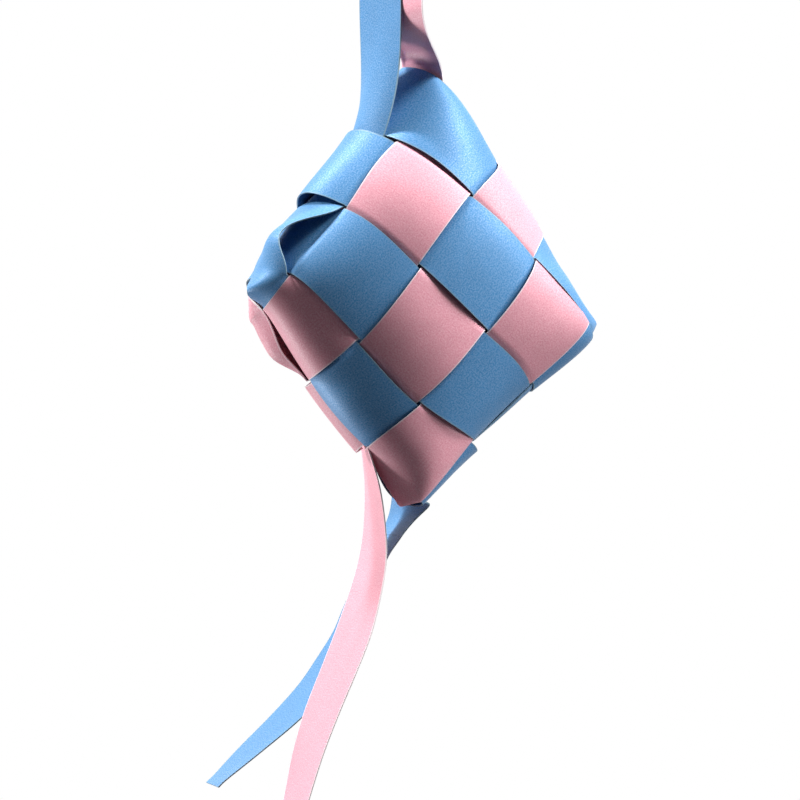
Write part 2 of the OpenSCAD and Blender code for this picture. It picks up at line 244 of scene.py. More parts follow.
class PaperLook(bpy.types.PropertyGroup):
    """Colours and finish of the two papers."""

    blue: bpy.props.FloatVectorProperty(
        name="Blue", description="Face of the blue paper", subtype="COLOR", size=3,
        default=(0.042, 0.25, 0.55))
    pink: bpy.props.FloatVectorProperty(
        name="Pink", description="Face of the pink paper", subtype="COLOR", size=3,
        default=(0.95, 0.36, 0.455))
    blue_edge: bpy.props.FloatVectorProperty(
        name="Blue cut edge", description="Cut edge of the blue paper", subtype="COLOR", size=3,
        default=(0.20, 0.33, 0.42))
    pink_edge: bpy.props.FloatVectorProperty(
        name="Pink cut edge", description="Cut edge of the pink paper", subtype="COLOR", size=3,
        default=(1.0, 0.86, 0.88))
    speckle: bpy.props.FloatProperty(
        name="Speckle", description="Size of the pearl grains", default=0.00035, unit="LENGTH")


class StageLook(bpy.types.PropertyGroup):
    """Lights and floor."""

    key: bpy.props.FloatProperty(
        name="Key", description="Power of the light above the left", default=10.0, unit="POWER")
    side: bpy.props.FloatProperty(
        name="Side", description="Power of the light on the right", default=15.5, unit="POWER")
    low_side: bpy.props.FloatProperty(
        name="Low side", description="Power of the low light on the right", default=3.6, unit="POWER")
    left: bpy.props.FloatProperty(
        name="Left", description="Power of the light on the left", default=9.5, unit="POWER")
    low_left: bpy.props.FloatProperty(
        name="Low left", description="Power of the low light behind the left", default=6.0, unit="POWER")
    fill: bpy.props.FloatProperty(
        name="Fill", description="Strength of the soft light all round", default=0.06)
    floor: bpy.props.FloatVectorProperty(
        name="Floor", description="Colour of the floor", subtype="COLOR", size=3,
        default=(0.86, 0.86, 0.87))


def unit(v):
    """v divided by its length, along the last axis."""
    return v / np.maximum(np.linalg.norm(v, axis=-1, keepdims=True), 1e-12)


def smooth(t):
    """Smooth step from 0 to 1: t squared times 3 minus 2 t, with t held between 0 and 1."""
    t = np.clip(t, 0, 1)
    return t * t * (3 - 2 * t)


def part_of(place, span):
    """How far a place is along a span of a start and a reach: 0 at the start and 1 at the end."""
    return (place - span[0]) / span[1]


def bump(t):
    """One smooth hump over 0 to 1: sin squared of half a turn, and 0 outside."""
    return np.where((t > 0) & (t < 1), np.sin(math.pi * np.clip(t, 0, 1)) ** 2, 0)


class Pouch:
    """The pouch's surface and the rules of its weave, in millimetres."""

    def __init__(self, sizes):
        """Reads the sizes and works out how far each corner is pulled from the plain surface."""
        self.pitch = sizes.pitch / MM
        self.half = 0.5 - sizes.slit / sizes.pitch / 2
        self.paper = sizes.paper / MM
        self.high = sizes.crossing / MM
        self.edge = (sizes.paper + sizes.gap) / MM / 2
        self.inside = -INSIDE_DEPTH * self.high
        self.depth = sizes.depth / MM
        self.at = np.array([sizes.right / MM, 0, -sizes.drop / MM])
        self.tip = sizes.tip
        self.roll = sizes.roll
        self.tab_turn = sizes.tab_turn
        self.tail_turn = sizes.tail_turn
        self.bore = sizes.bore / MM
        self.pull_at = self.shell(CORNERS[:, 0], CORNERS[:, 1])
        unpulled = self.at + self.hung(self.pull_at)
        wanted = CORNERS[:, 2:] - unpulled[:, [0, 2]]
        near = self.nearness(self.pull_at)
        self.pulls = np.linalg.solve(near + PULL_EASE * np.eye(len(CORNERS)), wanted)

    def nearness(self, p):
        """Bell curve of the distance from each point to each corner: exp(-d squared / 2 reach squared)."""
        gap = p[..., None, :] - self.pull_at
        return np.exp(-np.sum(gap * gap, axis=-1) / (2 * PULL_REACH ** 2))

    def shell(self, x, y):
        """Pillow in its own frame. With t and s the place on the unrolled pouch, u and v are
        sin t and sin s, each with a third harmonic. The height w is depth g h / sqrt(g2 + h2 - g2 h2),
        where g and h are the cosine crowns along t and s. The corners where u v is positive are
        spread, the other two are drawn in, and the crown leans with its height."""
        dx, dy = x - MIDDLE[0], y - MIDDLE[1]
        t = (dx + LEAD * dy) / (1 + LEAD ** 2) * math.pi / 4
        s = (dy - LEAD * dx) / (1 + LEAD ** 2) * math.pi / 4
        across = self.pitch / (math.pi / 4 * (1 + 3 * OUTLINE_SQUARE))
        u = across * (np.sin(t) + OUTLINE_SQUARE * np.sin(3 * t))
        v = across * (np.sin(s) + OUTLINE_SQUARE * np.sin(3 * s))
        g = (np.cos(t) + CROWN_FLAT * np.cos(3 * t)) / (1 + CROWN_FLAT)
        h = (np.cos(s) + CROWN_FLAT * np.cos(3 * s)) / (1 + CROWN_FLAT)
        w = self.depth * g * h / np.sqrt(g * g + h * h - g * g * h * h + 1e-6)
        draw = 1 + CORNER_SPREAD * u * v / self.pitch ** 2
        return np.stack([u * draw + CROWN_LEAN[0] * w, v * draw + CROWN_LEAN[1] * w, w], axis=-1)

    def hung(self, p):
        """A vector of the pouch's frame, tipped about the rows and rolled in the picture plane."""
        a = p[..., 1] * math.cos(self.tip) - p[..., 2] * math.sin(self.tip)
        b = p[..., 1] * math.sin(self.tip) + p[..., 2] * math.cos(self.tip)
        x = p[..., 0] * math.cos(self.roll) - a * math.sin(self.roll)
        z = -p[..., 0] * math.sin(self.roll) - a * math.cos(self.roll)
        return np.stack([x, -b, z], axis=-1)

    def surface(self, x, y):
        """Point of the hanging pouch at a lattice place, with the corners' pulls added."""
        p = self.shell(x, y)
        pull = self.nearness(p) @ self.pulls
        return self.at + self.hung(p) + np.stack([pull[..., 0], 0 * pull[..., 0], pull[..., 1]], axis=-1)

    def woven(self, x, y, lift):
        """Point raised from the surface along its outward direction, and that direction."""
        x, y, lift = np.broadcast_arrays(x, y, lift)
        step = 0.01
        along = self.surface(x + step, y) - self.surface(x - step, y)
        across = self.surface(x, y + step) - self.surface(x, y - step)
        out = unit(np.cross(across, along))
        return self.surface(x, y) + lift[..., None] * out, out

    def wave(self, place, arch):
        """Height over a crossing: edge + (arch high - edge) cos(90 degrees place / half)."""
        return self.edge + (arch * self.high - self.edge) * np.cos(math.pi / 2 * place / self.half)

    def span(self, count):
        """Equal places from one edge of a strip to the other."""
        return np.linspace(-self.half, self.half, count + 1)

    @staticmethod
    def row_side(i, j):
        """1 where row j lies over column i, -1 where it lies under."""
        return -1 if (i + j) % 2 == 0 else 1

    def stations(self, centres, sides):
        """Places and heights along a strip over crossings at these centres."""
        p = self.span(ALONG)
        place = np.concatenate([c + p for c in centres])
        lift = np.concatenate([self.wave(p, ARCH) if s > 0 else -self.wave(p, 1) for s in sides])
        return place, lift

    def row(self, j, place, lift):
        """Lattice grid of row j: x along it, y across it."""
        x, y = np.meshgrid(place, j + 0.5 + self.span(ACROSS), indexing="ij")
        return x, y, np.repeat(lift[:, None], ACROSS + 1, axis=1)

    def column(self, i, place, lift):
        """Lattice grid of column i: y along it, x across it from right to left."""
        y, x = np.meshgrid(place, i + 0.5 - self.span(ACROSS), indexing="ij")
        return x, y, np.repeat(lift[:, None], ACROSS + 1, axis=1)

    @staticmethod
    def eased(x, y, lift):
        """Height of a strip, lowered smoothly by up to a part of itself towards the two lower
        folds and the upper right edge of the front."""
        near = np.maximum(smooth(part_of(x, FOLD_EASE)), smooth(part_of(y, FOLD_EASE)))
        return lift * (1 - EASED_PART * np.maximum(near, smooth(part_of(-y, TOP_EASE))))

    def corner(self, at, first, second, lifts, flip, start=1):
        """Lattice grid of a quarter turn of a strip about a corner of the pouch:
        at + reach (first cos angle + second sin angle), with the height going evenly
        from one lift to the other."""
        angle = np.linspace(0, math.pi / 2, TURN_STEPS + 1)[start:, None]
        reach = 0.5 - flip * self.span(ACROSS)[None, :]
        x = at[0] + reach * (first[0] * np.cos(angle) + second[0] * np.sin(angle))
        y = at[1] + reach * (first[1] * np.cos(angle) + second[1] * np.sin(angle))
        lift = np.linspace(lifts[0], lifts[1], TURN_STEPS + 1)[start:, None] + 0 * reach
        return x, y, lift


def loft(a, b, out, into, count):
    """Rings from ring a to ring b on cubic Bezier curves: (1-f)^3 a + 3 (1-f)^2 f (a + out)
    + 3 (1-f) f^2 (b - into) + f^3 b."""
    f = np.linspace(0, 1, count + 1)[:, None, None]
    early = (1 - f) ** 3 * a + 3 * (1 - f) ** 2 * f * (a + np.array(out))
    return early + 3 * (1 - f) * f ** 2 * (b - np.array(into)) + f ** 3 * b


def curve(stops, count):
    """Catmull-Rom curve through the stops, count steps between each pair."""
    ends = np.vstack([2 * stops[0] - stops[1], stops, 2 * stops[-1] - stops[-2]])
    f = np.linspace(0, 1, count, endpoint=False)[None, :, None]
    a, b, c, d = (ends[k:len(ends) - 3 + k, None, :] for k in range(4))
    body = b + 0.5 * f * (c - a + f * (2 * a - 5 * b + 4 * c - d + f * (3 * (b - c) + d - a)))
    return np.vstack([body.reshape(-1, stops.shape[1]), stops[-1]])


def free_rings(pouch, middles, turns):
    """Straight rings across a free ribbon: middle + k half width (cos turn, -sin turn, 0)."""
    k = np.linspace(-1, 1, ACROSS + 1)[None, :, None] * pouch.half * pouch.pitch
    way = np.stack([np.cos(turns), -np.sin(turns), 0 * turns], axis=-1)
    return middles[:, None, :] + k * way[:, None, :]


def sheet_arrays(points, paper, wrap):
    """Closed thin sheet on a grid of points: a face on either side, half the paper's thickness
    away along the grid's normal, and rims along the cut edges. Also texture places across and
    along in metres, 1 for the faces that are cut edges, and each point's distance from the
    long edges. A grid that wraps round has no long edge, and its distance is far."""
    n, m = points.shape[:2]
    along = np.gradient(points, axis=0)
    across = np.roll(points, -1, 1) - np.roll(points, 1, 1) if wrap else np.gradient(points, axis=1)
    out = unit(np.cross(across, along))
    verts = np.concatenate([(points + side * paper / 2 * out).reshape(-1, 3) for side in (1, -1)])
    size = n * m
    near = np.arange(size).reshape(n, m)
    far = np.roll(near, -1, axis=1)
    if not wrap:
        near, far = near[:, :-1], far[:, :-1]
    a, b, c, d = (g.reshape(-1) for g in (near[:-1], far[:-1], far[1:], near[1:]))
    faces = [np.stack([a, b, c, d], 1), np.stack([a, d, c, b], 1) + size]
    first, last = (near[0], far[0]), (near[-1], far[-1])
    rims = [
        np.stack([first[1], first[0], first[0] + size, first[1] + size], 1),
        np.stack([last[0], last[1], last[1] + size, last[0] + size], 1),
    ]
    if not wrap:
        left, right = near[:, 0], far[:, -1]
        rims.append(np.stack([left[:-1], left[1:], left[1:] + size, left[:-1] + size], 1))
        rims.append(np.stack([right[1:], right[:-1], right[:-1] + size, right[1:] + size], 1))
    cut = np.concatenate(rims)
    step_u = np.linalg.norm(np.diff(points, axis=1), axis=-1).mean(axis=0)
    step_v = np.linalg.norm(np.diff(points, axis=0), axis=-1).mean(axis=1)
    u = np.concatenate([[0], np.cumsum(step_u)])
    v = np.concatenate([[0], np.cumsum(step_v)])
    place = np.stack(np.meshgrid(v, u, indexing="ij")[::-1], axis=-1).reshape(-1, 2) * MM
    inset = np.full((n, m), FAR) if wrap else np.repeat(np.minimum(u, u[-1] - u)[None, :], n, axis=0)
    marks = np.concatenate([np.zeros(2 * len(a), int), np.ones(len(cut), int)])
    faces = np.concatenate(faces + [cut])
    return verts, faces, np.concatenate([place, place]), marks, np.tile(inset.reshape(-1) * MM, 2)


def add_piece(name, shells, materials, nodes, body="pouch"):
    """Mesh object of one or more shells, in metres at the origin, standing for its CAD nodes."""
    starts = np.cumsum([0] + [len(shell[0]) for shell in shells])
    verts, faces, places, marks, insets = zip(*shells)
    faces = [f + start for f, start in zip(faces, starts)]
    verts = np.concatenate(verts) * MM
    faces = np.concatenate(faces)
    mesh = bpy.data.meshes.new(name)
    mesh.from_pydata(verts.tolist(), [], faces.tolist())
    layer = mesh.uv_layers.new(name="paper")
    layer.data.foreach_set("uv", np.concatenate(places)[faces.reshape(-1)].astype(np.float32).reshape(-1))
    for material in materials:
        mesh.materials.append(material)
    mesh.polygons.foreach_set("material_index", np.concatenate(marks).astype(np.int32))
    mesh.polygons.foreach_set("use_smooth", np.ones(len(faces), bool))
    mesh.set_sharp_from_angle(angle=SHARP)
    inset = mesh.attributes.new("inset", "FLOAT", "POINT")
    inset.data.foreach_set("value", np.concatenate(insets).astype(np.float32))
    mesh.update()
    piece = bpy.data.objects.new(name, mesh)
    bpy.context.scene.collection.objects.link(piece)
    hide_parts(*nodes)
    if body:
        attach(piece, body)
    return piece


def map_range(nodes, low, high, to_low, to_high):
    """Node that carries the range low to high over to another range."""
    node = nodes.new("ShaderNodeMapRange")
    for socket, value in (("From Min", low), ("From Max", high), ("To Min", to_low), ("To Max", to_high)):
        node.inputs[socket].default_value = value
    return node


def pearl_group():
    """Node group: grain of pearl paper with painted light. Speckle mixes a lighter glint into the colour,
    partly the paper's own flecks and partly painted sparkle, and changes the roughness, soft clouding
    varies the tone at random, a painted highlight lightens the face towards the edge's colour near the
    long edges, and the grain's height drives a bump."""
    if "Pearl grain" in bpy.data.node_groups:
        return bpy.data.node_groups["Pearl grain"]
    group = bpy.data.node_groups.new("Pearl grain", "ShaderNodeTree")
    put = group.interface.new_socket
    put("Colour", in_out="INPUT", socket_type="NodeSocketColor")
    put("Glint", in_out="INPUT", socket_type="NodeSocketColor")
    put("Grain", in_out="INPUT", socket_type="NodeSocketFloat")
    put("Edge", in_out="INPUT", socket_type="NodeSocketColor")
    put("Colour", in_out="OUTPUT", socket_type="NodeSocketColor")
    put("Roughness", in_out="OUTPUT", socket_type="NodeSocketFloat")
    put("Height", in_out="OUTPUT", socket_type="NodeSocketFloat")
    nodes, link = group.nodes, group.links.new
    given, made = nodes.new("NodeGroupInput"), nodes.new("NodeGroupOutput")
    place = nodes.new("ShaderNodeUVMap")
    place.uv_map = "paper"
    grain = nodes.new("ShaderNodeTexNoise")
    grain.inputs["Detail"].default_value = 3
    grain.inputs["Roughness"].default_value = 0.65
    cloud = nodes.new("ShaderNodeTexNoise")
    cloud.inputs["Scale"].default_value = 260
    cloud.inputs["Detail"].default_value = 3
    fleck = map_range(nodes, 0.40, 0.66, 0, 1)
    soft = map_range(nodes, 0.3, 0.7, 0.96, 1.03)
    # The speckle mixes in a lighter glint colour: partly the pearl flecks' own lighter grain and partly
    # painted sparkle.
    mix = nodes.new("ShaderNodeMix")
    mix.data_type = "RGBA"
    shade = nodes.new("ShaderNodeVectorMath")
    shade.operation = "SCALE"
    inset = nodes.new("ShaderNodeAttribute")
    inset.attribute_name = "inset"
    # Painted highlight: within 0.12 to 0.3 mm of a long edge the face is blended up to 85 percent towards
    # the pale edge colour, standing in for the lit cut edge.
    rim_highlight = map_range(nodes, 0.00012, 0.0003, 0.85, 0)
    rim = nodes.new("ShaderNodeMix")
    rim.data_type = "RGBA"
    rough = map_range(nodes, 0, 1, 0.56, 0.42)
    link(place.outputs["UV"], grain.inputs["Vector"])
    link(place.outputs["UV"], cloud.inputs["Vector"])
    link(given.outputs["Grain"], grain.inputs["Scale"])
    link(grain.outputs["Fac"], fleck.inputs["Value"])
    link(cloud.outputs["Fac"], soft.inputs["Value"])
    link(fleck.outputs["Result"], mix.inputs["Factor"])
    link(given.outputs["Colour"], mix.inputs["A"])
    link(given.outputs["Glint"], mix.inputs["B"])
    link(mix.outputs["Result"], shade.inputs[0])
    link(soft.outputs["Result"], shade.inputs["Scale"])
    link(fleck.outputs["Result"], rough.inputs["Value"])
    link(inset.outputs["Fac"], rim_highlight.inputs["Value"])
    link(rim_highlight.outputs["Result"], rim.inputs["Factor"])
    link(shade.outputs["Vector"], rim.inputs["A"])
    link(given.outputs["Edge"], rim.inputs["B"])
    link(rim.outputs["Result"], made.inputs["Colour"])
    link(rough.outputs["Result"], made.inputs["Roughness"])
    link(grain.outputs["Fac"], made.inputs["Height"])
    return group


def paper_material(name, colour, glint, edge, speckle, metal, sheen, relief_strength):
    """Material with the shared grain: speckled colour with painted sparkle and a painted edge highlight,
    roughness and a fine bump.
    """
    if name in bpy.data.materials:
        return bpy.data.materials[name]
    material = bpy.data.materials.new(name)
    material.use_nodes = True
    nodes, link = material.node_tree.nodes, material.node_tree.links.new
    shader = nodes["Principled BSDF"]
    grain = nodes.new("ShaderNodeGroup")
    grain.node_tree = pearl_group()
    grain.inputs["Colour"].default_value = (*colour, 1)
    grain.inputs["Glint"].default_value = (*glint, 1)
    grain.inputs["Grain"].default_value = 1 / speckle
    grain.inputs["Edge"].default_value = (*edge, 1)
    relief = nodes.new("ShaderNodeBump")
    relief.inputs["Strength"].default_value = relief_strength
    relief.inputs["Distance"].default_value = 0.00005
    link(grain.outputs["Colour"], shader.inputs["Base Color"])
    link(grain.outputs["Roughness"], shader.inputs["Roughness"])
    link(grain.outputs["Height"], relief.inputs["Height"])
    link(relief.outputs["Normal"], shader.inputs["Normal"])
    shader.inputs["Metallic"].default_value = metal
    shader.inputs["Specular IOR Level"].default_value = 0.3
    shader.inputs["Sheen Weight"].default_value = sheen
    shader.inputs["Sheen Roughness"].default_value = 0.35
    return material


def lighter(colour, part):
    """The colour moved this part of the way to white."""
    return tuple(c + (1 - c) * part for c in colour)


def papers(context, tint):
    """The face and cut edge materials of the blue or the pink paper."""
    look = context.scene.ketupat_look
    # glint: how far the speckle's lighter colour goes to white, painted sparkle of the pearl flecks over
    # their own grain
    if tint == "blue":
        colour, line, glint, metal = look.blue, look.blue_edge, 0.16, 0.1
    else:
        colour, line, glint, metal = look.pink, look.pink_edge, 0.28, 0.0
    deep = tuple(0.86 * c for c in colour)
    face = paper_material(
        "pearl_" + tint, deep, lighter(colour, glint), line, look.speckle,
        metal=metal, sheen=0.1, relief_strength=0.35)
    edge = paper_material(
        "cut_" + tint, line, lighter(line, 0.3), line, look.speckle,
        metal=0, sheen=0, relief_strength=0.3)
    return [face, edge]


def add_strip(context, name, tint, pouch, points, body="pouch"):
    """One ribbon stretch as a paper sheet standing for the CAD node of the same name."""
    shells = [sheet_arrays(points, pouch.paper, False)]
    piece = add_piece("paper_" + name, shells, papers(context, tint), [name], body)
    return piece


def front_row(pouch, j):
    """Blue row on the front and round the right edge. The top row's left end stands up as an open
    roll, the middle row's is tucked under, and the bottom row starts one column later. Each row
    rises or dips where it wraps the edge."""
    first = 0 if j == 2 else -1
    squares = range(first, 4)
    place, lift = pouch.stations([i + 0.5 for i in squares], [pouch.row_side(i, j) for i in squares])
    if j > 0:
        start = -1.15 if j == 1 else 0
        place = np.concatenate([[start], place])
        lift = np.concatenate([[-pouch.edge], lift])
    x, y, lift = pouch.row(j, place, lift)
    lift = pouch.eased(x, y, lift)
    if j == 0:
        lift = lift + bump(x + 1) * (ROLL_HEIGHT + ROLL_RISE * smooth(y))
    return pouch.woven(x, y, lift + WRAP_HEIGHTS[j] * bump(part_of(x, WRAP_SPAN)))[0]


def back_row(pouch, j):
    """Blue row on the back, from the right edge round to the left. The bottom row lies outside at
    its last crossing."""
    sides = [1 if i == 6 and j == 2 else pouch.row_side(i, j) for i in (4, 5, 6)]
    place, lift = pouch.stations([4.5, 5.5, 6.5], sides)
    place = np.concatenate([[3.5 + pouch.half], place, [NEXT_TURN - pouch.half]])
    first = pouch.row_side(3, j) * pouch.edge
    last = pouch.row_side(-1, j - 1) * pouch.edge
    lift = np.concatenate([[first], lift, [last]])
    x, y, lift = pouch.row(j, place, lift)
    return pouch.woven(x, y, lift)[0]


def lead(place, lift, finish, count):
    """Stations carried on evenly to a last one."""
    f = np.arange(1, count + 1) / count
    return (np.concatenate([place, place[-1] + (finish[0] - place[-1]) * f]),
            np.concatenate([lift, lift[-1] + (finish[1] - lift[-1]) * f]))


def back_place(j):
    """Place along a column of row j's crossing on the back."""
    return 4 - j + 2 * MIDDLE[1]


def front_column(pouch, i):
    """Pink column on the front. The first two are led round the lower left fold, where the
    second one swells."""
    squares = range(-1, 3)
    place, lift = pouch.stations([j + 0.5 for j in squares], [-pouch.row_side(i, j) for j in squares])
    if i < 2:
        finish = (back_place(2) - pouch.half, pouch.row_side(i, 2) * pouch.edge)
        place, lift = lead(place, lift, finish, 10)
    x, y, lift = pouch.column(i, place, lift)
    lift = pouch.eased(x, y, lift)
    if i == 1:
        lift = lift + FOLD_SWELL * bump(part_of(y, FOLD_SPAN))
    return pouch.woven(x, y, lift)[0]


def back_column(pouch, i):
    """Pink column on the back, up to the start of the next column."""
    rows = (2, 1, 0)
    place, lift = pouch.stations([back_place(j) for j in rows], [pouch.row_side(i, j) for j in rows])
    finish = (NEXT_TURN - pouch.half, -pouch.row_side(i + 1, -1) * pouch.edge)
    place, lift = lead(place, lift, finish, 14)
    x, y, lift = pouch.column(i, place, lift)
    return pouch.woven(x, y, lift)[0]


def upper_left_side(pouch):
    """Blue column down the upper left edge, bowed out beside the second row, then a quarter turn."""
    place, lift = pouch.stations([0.5, 1.5], [-pouch.row_side(-1, 0), -pouch.row_side(-1, 1)])
    turn = pouch.corner((0, 2), (-1, 0), (0, 1), (pouch.edge, -pouch.edge), -1)
    x, y, lift = (np.concatenate(g) for g in zip(pouch.column(-1, place, lift), turn))
    bow = bump(np.clip(part_of(y, BOW_SPAN), 0, 1) ** 1.2) * smooth(x + 1)
    return pouch.woven(x - BOW_ASIDE * bow, y, lift + BOW_HEIGHT * bow)[0]


def upper_right_side(pouch):
    """Blue row along the upper right edge, arched over the first column, then a quarter turn.
    Its inner edge is moved and lowered at two places."""
    squares = range(-1, 3)
    place, lift = pouch.stations([i + 0.5 for i in squares], [pouch.row_side(i, -1) for i in squares])
    rise = smooth(part_of(place, EDGE_RISE))
    lift = np.where(place < 0.5, pouch.high * ARCH * rise - pouch.edge * (1 - rise), lift)
    place = np.concatenate([[-1.2, -1.1], place])
    lift = np.concatenate([lift[:1], lift[:1], lift])
    turn = pouch.corner((3, 0), (0, -1), (1, 0), (pouch.edge, -pouch.edge), 1)
    x, y, lift = (np.concatenate(g) for g in zip(pouch.row(-1, place, lift), turn))
    inner = smooth(2 * y + 1)
    early = bump(x)
    late = bump(part_of(x, EDGE_SPAN))
    shift = EDGE_IN * late - EDGE_OUT * early
    drop = EDGE_DROPS[0] * early + EDGE_DROPS[1] * late
    return pouch.woven(x, y + shift * inner, pouch.eased(x, y, lift) - drop * inner)[0]


def fall_rings(pouch, route, half_turn):
    """Rings of a tail from the pouch's bottom corner down its route."""
    stops = curve(route, FALL_STEPS)
    turns = pouch.tail_turn + np.radians(stops[:, 3]) + half_turn
    return free_rings(pouch, BOTTOM + stops[:, :3], turns)


def led_on(grid, ring, out, into):
    """A woven grid carried on from its last ring to a free ring."""
    return np.concatenate([grid, loft(grid[-1], ring, out, into, 24)[1:]])


def pink_front_right(pouch):
    """Last pink column on the front, turned under at the bottom as a flap. With k from 0 on the
    right to 1 on the left, the flap sets out back and to the left, lowest at its middle, and its
    hidden end lies behind and above the column's end, drawn narrower."""
    grid = front_column(pouch, 2)
    k = np.linspace(0, 1, ACROSS + 1)
    out = np.stack([9 * k - 10, 7 + 0 * k, -1.5 * (1 - k) - 18 * k * (1 - k) - k], axis=-1)
    end = grid[-1] + np.stack([4.5 * k - 1.5, 10 + 0 * k, 4 + 0 * k], axis=-1)
    return led_on(grid, end, out, (2.0, 6.0, 4.0))


def lower_right_side(pouch):
    """Blue column down the lower right edge, carried on to the blue tail."""
    squares = range(0, 3)
    place, lift = pouch.stations([j + 0.5 for j in squares], [-pouch.row_side(3, j) for j in squares])
    x, y, lift = pouch.column(3, place, lift)
    lift = pouch.eased(x, y, lift)
    ring = fall_rings(pouch, BLUE_FALL, 0)[0] + TAIL_GAP * UP
    return led_on(pouch.woven(x, y, lift)[0], ring, (5, 5, -1), (-5, 0, -7))


def lower_left_loop(pouch, x, y):
    """Height of the loose pink loop: over the first column's fold, with a swell that slides and
    fades along the row, tucked in towards the back, and led inside through the slit at x = 1."""
    apart = smooth(x / LOOP_APART)
    fade = 1 - smooth(part_of(x, LOOP_FADE))
    tuck = 1 - smooth(part_of(y, LOOP_TUCK))
    swell = LOOP_SWELL * fade * bump(part_of(y + LOOP_SLIDE * apart, LOOP_SPAN))
    outside = (LOOP_HEIGHT + LOOP_RISE * apart) * tuck + swell
    inside = smooth((x - LOOP_END) / (1 - LOOP_END))
    return outside * (1 - inside) + pouch.inside / 2 * inside


def back_corner(pouch):
    """Pink strip from the loose loop round the left corner and up the back. The loop's height
    fades out round the corner."""
    x, y, fade = pouch.corner((0, 4), (0, -1), (-1, 0), (1, 0), -1, start=0)
    near = smooth(fade) * smooth(1 + 1.3 * x)
    turn = x, y, near * lower_left_loop(pouch, 0 * x, y) - (1 - near) * pouch.high
    place, lift = pouch.stations([back_place(j) for j in (1, 0)], [pouch.row_side(-1, j) for j in (1, 0)])
    place = np.concatenate([[4.2], place])
    lift = np.concatenate([[-0.7 * pouch.high], lift])
    place, lift = lead(place, lift, (NEXT_TURN - pouch.half, -pouch.row_side(0, -1) * pouch.edge), 14)
    x, y, lift = (np.concatenate(g) for g in zip(turn, pouch.column(-1, place, lift)))
    return pouch.woven(x, y, lift)[0]


def inner_rings(pouch):
    """Ends of the pink run inside the pouch: at the lower left fold and below the hanger."""
    q = pouch.span(ACROSS)
    low = pouch.woven(1 + 0 * q, 3.5 + q, pouch.inside / 2)[0]
    high = pouch.woven(-0.5 - q, INNER_TOP + 0 * q, pouch.inside)[0]
    return low, high


def tab_axes(pouch):
    """Directions of the hangers' flat ends: out of their face, and across their width."""
    sine, cosine = math.sin(pouch.tab_turn), math.cos(pouch.tab_turn)
    return np.array([-sine, -cosine, 0]), np.array([cosine, -sine, 0])


def circle(count):
    """Angles of count equal steps round a circle."""
    return np.linspace(0, 2 * math.pi, count, endpoint=False)


def tab_plate(pouch, side):
    """Flat end of a hanger with the eyelet's hole. Along each ray from the hole's middle, the
    distance goes evenly from the hole's radius to the nearer edge of the rectangle."""
    face, wide = tab_axes(pouch)
    half = pouch.half * pouch.pitch
    hole = pouch.bore + HOLE_EASE
    slip = -side * TAB_ASIDE
    angle = circle(96)
    ray = np.stack([np.cos(angle), np.sin(angle)], axis=-1)
    reach_w = np.where(ray[:, 0] > 0, half + slip, half - slip) / np.maximum(np.abs(ray[:, 0]), 1e-9)
    reach_z = np.where(ray[:, 1] > 0, TAB_HIGH, TAB_LOW) / np.maximum(np.abs(ray[:, 1]), 1e-9)
    far = np.minimum(reach_w, reach_z)
    f = np.linspace(0, 1, 9)[:, None]
    r = hole + (far[None, :] - hole) * f
    middle = side * (pouch.paper / 2 + TAB_GAP) * face
    return middle + r[..., None] * (ray[None, :, :1] * wide + ray[None, :, 1:] * UP)


def hanger(pouch, start, side, out, into):
    """Hanger rings from the weave's top corner up to the flat end."""
    face, wide = tab_axes(pouch)
    middle = side * ((pouch.paper / 2 + TAB_GAP) * face - TAB_ASIDE * wide) - TAB_LOW * UP
    top = free_rings(pouch, middle[None, :], np.array([pouch.tab_turn]))[0]
    return np.concatenate([start[:-1], loft(start[-1], top, out, into, 32)])


def eyelet_shell(pouch):
    """Closed eyelet: a profile carried round the bore. With c and s the cosine and sine of the
    turn round the profile and p = |s|^6, the radius is bore + wall / 2 + 0.75 (lip + wall / 2) p
    - wall / 2 c (1 - p), and the depth is (half + rise) |s|^0.7 with the sign of s."""
    angle, turn = circle(72), circle(40)
    c, s = np.cos(turn), np.sin(turn)
    p = np.abs(s) ** 6
    wall = EYELET_WALL / 2
    radius = pouch.bore + wall + (EYELET_LIP + wall) * p * 0.75 - wall * c * (1 - p)
    depth = (EYELET_HALF + EYELET_RISE) * np.sign(s) * np.abs(s) ** 0.7
    face, wide = tab_axes(pouch)
    ring = np.cos(angle)[:, None] * wide + np.sin(angle)[:, None] * UP
    points = radius[:, None, None] * ring[None] + depth[:, None, None] * face
    size = len(turn) * len(angle)
    near = np.arange(size).reshape(len(turn), len(angle))
    far = np.roll(near, -1, 1)
    quads = (near, np.roll(near, -1, 0), np.roll(far, -1, 0), far)
    faces = np.stack([g.reshape(-1) for g in quads], 1)
    place = np.stack(np.meshgrid(turn, angle * EYELET_ROUND, indexing="ij"), -1).reshape(-1, 2) * MM
    return points.reshape(-1, 3), faces, place, np.zeros(size, int), np.full(size, FAR)


class KETUPAT_OT_rows(bpy.types.Operator):
    """Weave the blue rows across the front and round the back"""

    bl_idname = "ketupat.rows"
    bl_label = "Blue rows"

    def execute(self, context):
        pouch = Pouch(context.scene.ketupat_sizes)
        for j, name in enumerate(("top", "middle", "bottom")):
            add_strip(context, "blue_front_" + name, "blue", pouch, front_row(pouch, j))
            add_strip(context, "blue_back_" + name, "blue", pouch, back_row(pouch, j))
        return {"FINISHED"}


class KETUPAT_OT_columns(bpy.types.Operator):
    """Weave the pink columns down the front and up the back"""

    bl_idname = "ketupat.columns"
    bl_label = "Pink columns"

    def execute(self, context):
        pouch = Pouch(context.scene.ketupat_sizes)
        for i, name in enumerate(("left", "middle")):
            add_strip(context, "pink_front_" + name, "pink", pouch, front_column(pouch, i))
            add_strip(context, "pink_back_" + name, "pink", pouch, back_column(pouch, i))
        add_strip(context, "pink_front_right", "pink", pouch, pink_front_right(pouch))
        add_strip(context, "pink_back_corner", "pink", pouch, back_corner(pouch))
        return {"FINISHED"}


